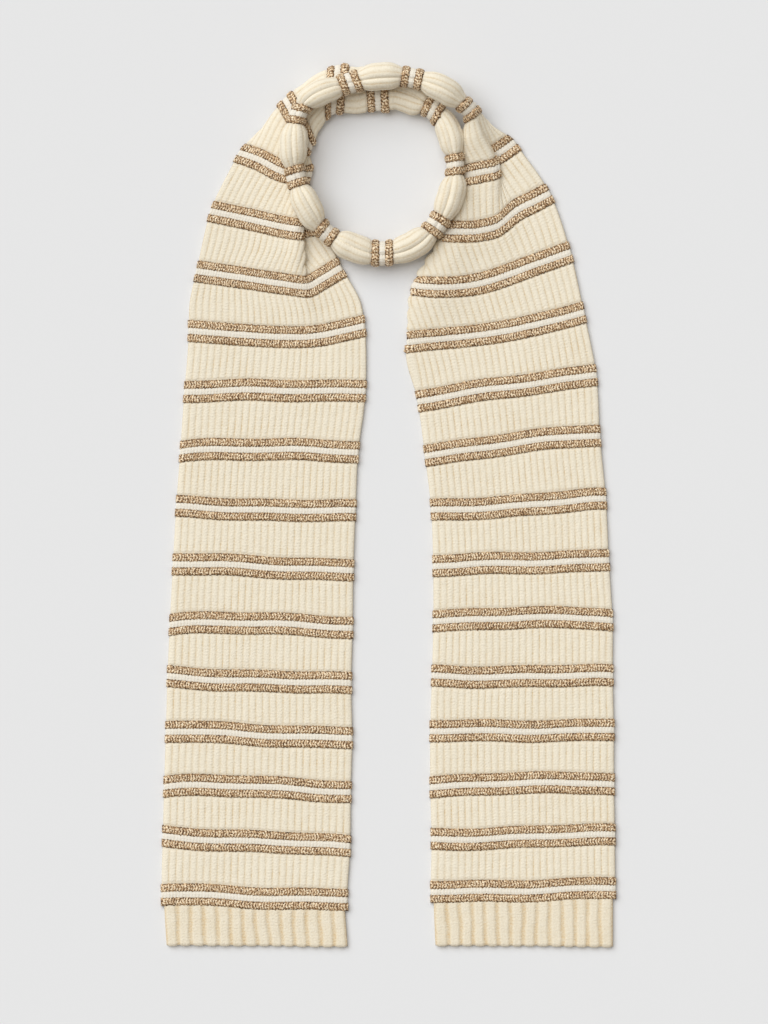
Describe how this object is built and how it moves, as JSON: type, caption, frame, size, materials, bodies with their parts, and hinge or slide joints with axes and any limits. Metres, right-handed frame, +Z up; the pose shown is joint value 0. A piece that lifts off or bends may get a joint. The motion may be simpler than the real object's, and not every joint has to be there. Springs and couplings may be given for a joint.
{
  "type": "rib-knit scarf",
  "caption": "Long striped rib-knit scarf lying flat, gathered into one neck loop, with two straight tails that fold up.",
  "frame": {"origin": "bottom centre of the box round the whole scarf as it lies on a table", "axes": "+Y from the tail ends towards the neck loop, +X towards the right tail, +Z up from the table"},
  "size_m": [0.4564, 0.8818, 0.0478],
  "materials": {
    "cream_wool": "soft brushed 1x1 rib knit",
    "plain_yarn": "smooth knitted ridge, whiter than the ribs",
    "tweed_yarn": "marled bronze and pale gold metallic yarn, raised purl ridge"
  },
  "bodies": {
    "neck_loop": {"neck_loop_rib_panel_01": "cream_wool", "neck_loop_rib_panel_02": "cream_wool", "neck_loop_rib_panel_03": "cream_wool", "neck_loop_rib_panel_04": "cream_wool", "neck_loop_rib_panel_05": "cream_wool", "neck_loop_rib_panel_06": "cream_wool", "neck_loop_rib_panel_07": "cream_wool", "neck_loop_rib_panel_08": "cream_wool", "neck_loop_rib_panel_09": "cream_wool", "neck_loop_rib_panel_10": "cream_wool", "neck_loop_rib_panel_11": "cream_wool", "neck_loop_rib_panel_12": "cream_wool", "neck_loop_rib_panel_13": "cream_wool", "neck_loop_rib_panel_14": "cream_wool", "left_tail_rib_panel_10": "cream_wool", "left_tail_rib_panel_11": "cream_wool", "left_tail_rib_panel_12": "cream_wool", "left_tail_rib_panel_13": "cream_wool", "right_tail_rib_panel_10": "cream_wool", "right_tail_rib_panel_11": "cream_wool", "right_tail_rib_panel_12": "cream_wool", "right_tail_rib_panel_13": "cream_wool", "left_tail_top_tweed_ridges": "tweed_yarn", "left_tail_top_plain_ridges": "plain_yarn", "neck_loop_under_tweed_ridges": "tweed_yarn", "neck_loop_under_plain_ridges": "plain_yarn", "neck_loop_over_tweed_ridges": "tweed_yarn", "neck_loop_over_plain_ridges": "plain_yarn", "right_tail_top_tweed_ridges": "tweed_yarn", "right_tail_top_plain_ridges": "plain_yarn"},
    "left_tail_upper": {"left_tail_rib_panel_05": "cream_wool", "left_tail_rib_panel_06": "cream_wool", "left_tail_rib_panel_07": "cream_wool", "left_tail_rib_panel_08": "cream_wool", "left_tail_rib_panel_09": "cream_wool", "left_tail_middle_tweed_ridges": "tweed_yarn", "left_tail_middle_plain_ridges": "plain_yarn"},
    "left_tail_lower": {"left_tail_rib_panel_01": "cream_wool", "left_tail_rib_panel_02": "cream_wool", "left_tail_rib_panel_03": "cream_wool", "left_tail_rib_panel_04": "cream_wool", "left_tail_end_tweed_ridges": "tweed_yarn", "left_tail_end_plain_ridges": "plain_yarn", "left_end_welt": "cream_wool"},
    "right_tail_upper": {"right_tail_rib_panel_05": "cream_wool", "right_tail_rib_panel_06": "cream_wool", "right_tail_rib_panel_07": "cream_wool", "right_tail_rib_panel_08": "cream_wool", "right_tail_rib_panel_09": "cream_wool", "right_tail_middle_tweed_ridges": "tweed_yarn", "right_tail_middle_plain_ridges": "plain_yarn"},
    "right_tail_lower": {"right_tail_rib_panel_01": "cream_wool", "right_tail_rib_panel_02": "cream_wool", "right_tail_rib_panel_03": "cream_wool", "right_tail_rib_panel_04": "cream_wool", "right_tail_end_tweed_ridges": "tweed_yarn", "right_tail_end_plain_ridges": "plain_yarn", "right_end_welt": "cream_wool"}
  },
  "joints": [
    {"name": "left_tail_high_fold", "type": "hinge", "parent": "neck_loop", "child": "left_tail_upper", "pos_m": [-0.11556, 0.1036, 0.0062], "axis": [-0.9999, 0.012, 0], "range_deg": [0, 90]},
    {"name": "left_tail_low_fold", "type": "hinge", "parent": "left_tail_upper", "child": "left_tail_lower", "pos_m": [-0.12891, -0.18539, 0.0062], "axis": [-0.9994, 0.035, 0], "range_deg": [0, 90]},
    {"name": "right_tail_high_fold", "type": "hinge", "parent": "neck_loop", "child": "right_tail_upper", "pos_m": [0.11716, 0.10963, 0.0062], "axis": [-0.9906, -0.1367, 0], "range_deg": [0, 90]},
    {"name": "right_tail_low_fold", "type": "hinge", "parent": "right_tail_upper", "child": "right_tail_lower", "pos_m": [0.1335, -0.17928, 0.0062], "axis": [-0.9998, -0.018, 0], "range_deg": [0, 90]}
  ]
}
